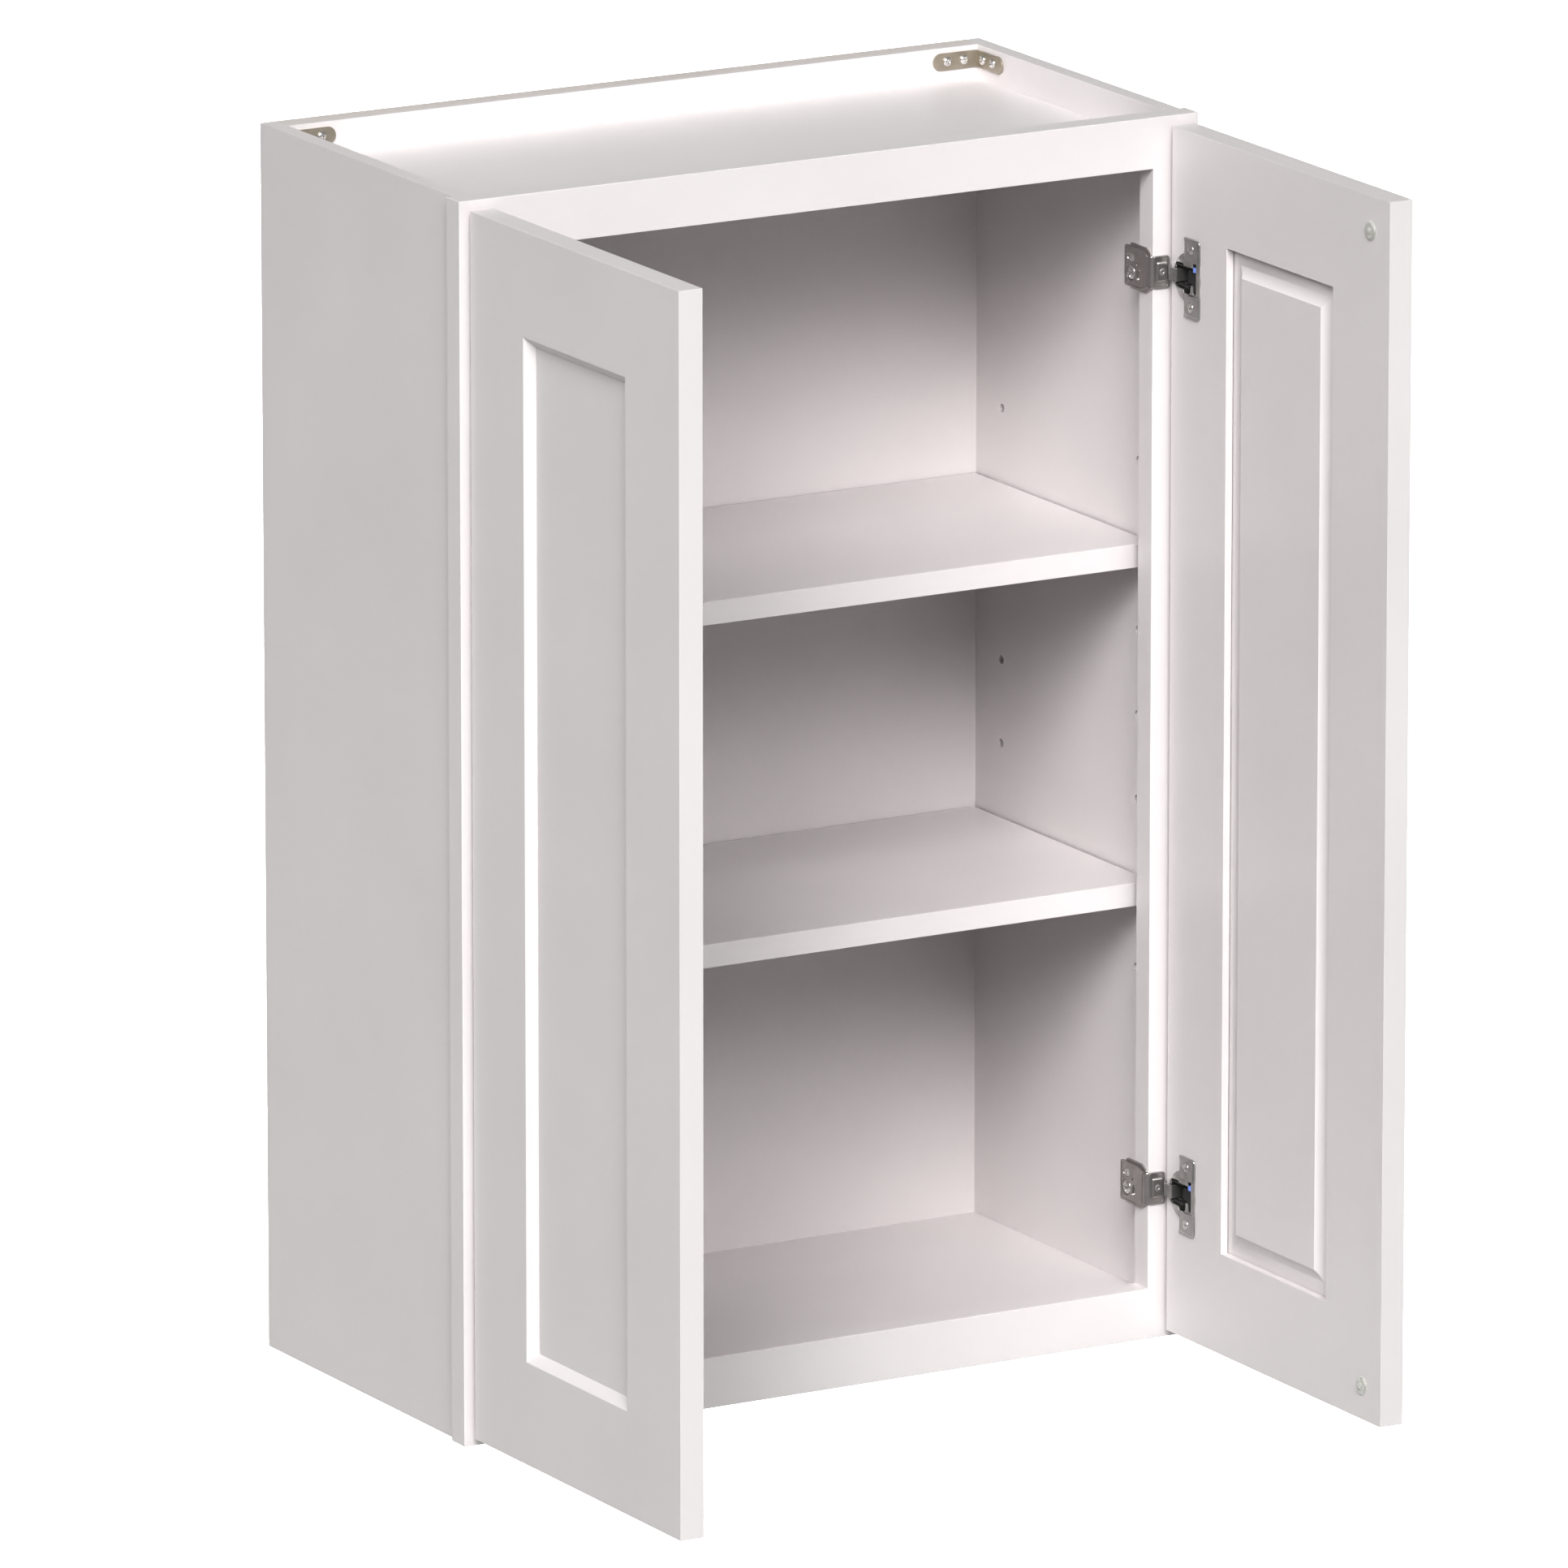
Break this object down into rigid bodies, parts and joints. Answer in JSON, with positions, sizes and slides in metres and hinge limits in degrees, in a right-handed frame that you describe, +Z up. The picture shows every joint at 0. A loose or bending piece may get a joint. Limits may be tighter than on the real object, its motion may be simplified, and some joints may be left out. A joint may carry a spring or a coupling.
{
  "type": "hanging wall cabinet",
  "caption": "Framed wall cabinet with a pair of framed-panel doors on concealed soft-close hinges, adjustable shelves and a hanging back.",
  "frame": {"origin": "middle of the lower edge of the face that lies on the wall", "axes": "+Z up, +Y into the wall, +X to the right as seen by someone facing the doors"},
  "size_m": [0.6096, 0.6083, 0.9144],
  "materials": {
    "paint": "satin off-white paint",
    "steel": "nickel-plated",
    "black_plastic": "satin",
    "blue_plastic": "gloss",
    "clear_plastic": "cloudy, soft"
  },
  "bodies": {
    "cabinet": {"left_side_panel": "paint", "right_side_panel": "paint", "top_panel": "paint", "bottom_panel": "paint", "back_panel": "paint", "left_back_stile": "paint", "right_back_stile": "paint", "top_hanging_rail": "paint", "bottom_hanging_rail": "paint", "frame_left_stile": "paint", "frame_right_stile": "paint", "frame_top_rail": "paint", "frame_bottom_rail": "paint", "left_corner_bracket": "steel", "right_corner_bracket": "steel", "corner_bracket_screws": "steel", "shelf_supports": "steel", "left_hinge_base_plates": "steel", "right_hinge_base_plates": "steel", "hinge_fixing_screws": "steel", "hinge_adjusting_screws": "steel", "upper_left_hinge_bracket": "steel", "upper_left_hinge_arm": "steel", "upper_right_hinge_bracket": "steel", "upper_right_hinge_arm": "steel", "lower_left_hinge_bracket": "steel", "lower_left_hinge_arm": "steel", "lower_right_hinge_bracket": "steel", "lower_right_hinge_arm": "steel"},
    "left_door": {"left_door_hinge_stile": "paint", "left_door_free_stile": "paint", "left_door_top_rail": "paint", "left_door_bottom_rail": "paint", "left_door_panel": "paint", "left_door_bumpers": "clear_plastic", "upper_left_hinge_cup": "steel", "lower_left_hinge_cup": "steel", "left_hinge_pins": "steel", "left_cup_screws": "steel"},
    "right_door": {"right_door_hinge_stile": "paint", "right_door_free_stile": "paint", "right_door_top_rail": "paint", "right_door_bottom_rail": "paint", "right_door_panel": "paint", "right_door_bumpers": "clear_plastic", "upper_right_hinge_cup": "steel", "lower_right_hinge_cup": "steel", "right_hinge_pins": "steel", "right_cup_screws": "steel"},
    "upper_shelf": {"upper_shelf": "paint"},
    "lower_shelf": {"lower_shelf": "paint"},
    "upper_left_damper_lever": {"upper_left_damper_lever": "black_plastic"},
    "upper_right_damper_lever": {"upper_right_damper_lever": "black_plastic"},
    "lower_left_damper_lever": {"lower_left_damper_lever": "black_plastic"},
    "lower_right_damper_lever": {"lower_right_damper_lever": "black_plastic"},
    "upper_left_damper_switch": {"upper_left_damper_switch": "blue_plastic"},
    "upper_right_damper_switch": {"upper_right_damper_switch": "blue_plastic"},
    "lower_left_damper_switch": {"lower_left_damper_switch": "blue_plastic"},
    "lower_right_damper_switch": {"lower_right_damper_switch": "blue_plastic"}
  },
  "joints": [
    {"name": "left_door_hinge", "type": "hinge", "parent": "cabinet", "child": "left_door", "pos_m": [-0.29065, -0.3192, 0.4572], "axis": [0, 0, -1], "range_deg": [-90, 15]},
    {"name": "right_door_hinge", "type": "hinge", "parent": "cabinet", "child": "right_door", "pos_m": [0.29065, -0.3192, 0.4572], "axis": [0, 0, 1], "range_deg": [-90, 15]},
    {"name": "upper_shelf_lift", "type": "slide", "parent": "cabinet", "child": "upper_shelf", "axis": [0, 0, 1], "range_m": [0, 0.1]},
    {"name": "lower_shelf_lift", "type": "slide", "parent": "cabinet", "child": "lower_shelf", "axis": [0, 0, 1], "range_m": [0, 0.1]},
    {"name": "upper_left_damper_lever_push", "type": "hinge", "parent": "left_door", "child": "upper_left_damper_lever", "pos_m": [-0.28015, -0.3422, 0.8001], "axis": [0, 0, 1], "range_deg": [0, 5], "stiffness_Nm_per_rad": 0.02},
    {"name": "upper_left_damper_switch_slide", "type": "slide", "parent": "left_door", "child": "upper_left_damper_switch", "axis": [0, 0, -1], "range_m": [0, 0.0024]},
    {"name": "upper_right_damper_lever_push", "type": "hinge", "parent": "right_door", "child": "upper_right_damper_lever", "pos_m": [0.28015, -0.3422, 0.8001], "axis": [0, 0, -1], "range_deg": [0, 5], "stiffness_Nm_per_rad": 0.02},
    {"name": "upper_right_damper_switch_slide", "type": "slide", "parent": "right_door", "child": "upper_right_damper_switch", "axis": [0, 0, 1], "range_m": [0, 0.0024]},
    {"name": "lower_left_damper_lever_push", "type": "hinge", "parent": "left_door", "child": "lower_left_damper_lever", "pos_m": [-0.28015, -0.3422, 0.1143], "axis": [0, 0, 1], "range_deg": [0, 5], "stiffness_Nm_per_rad": 0.02},
    {"name": "lower_left_damper_switch_slide", "type": "slide", "parent": "left_door", "child": "lower_left_damper_switch", "axis": [0, 0, -1], "range_m": [0, 0.0024]},
    {"name": "lower_right_damper_lever_push", "type": "hinge", "parent": "right_door", "child": "lower_right_damper_lever", "pos_m": [0.28015, -0.3422, 0.1143], "axis": [0, 0, -1], "range_deg": [0, 5], "stiffness_Nm_per_rad": 0.02},
    {"name": "lower_right_damper_switch_slide", "type": "slide", "parent": "right_door", "child": "lower_right_damper_switch", "axis": [0, 0, 1], "range_m": [0, 0.0024]}
  ]
}
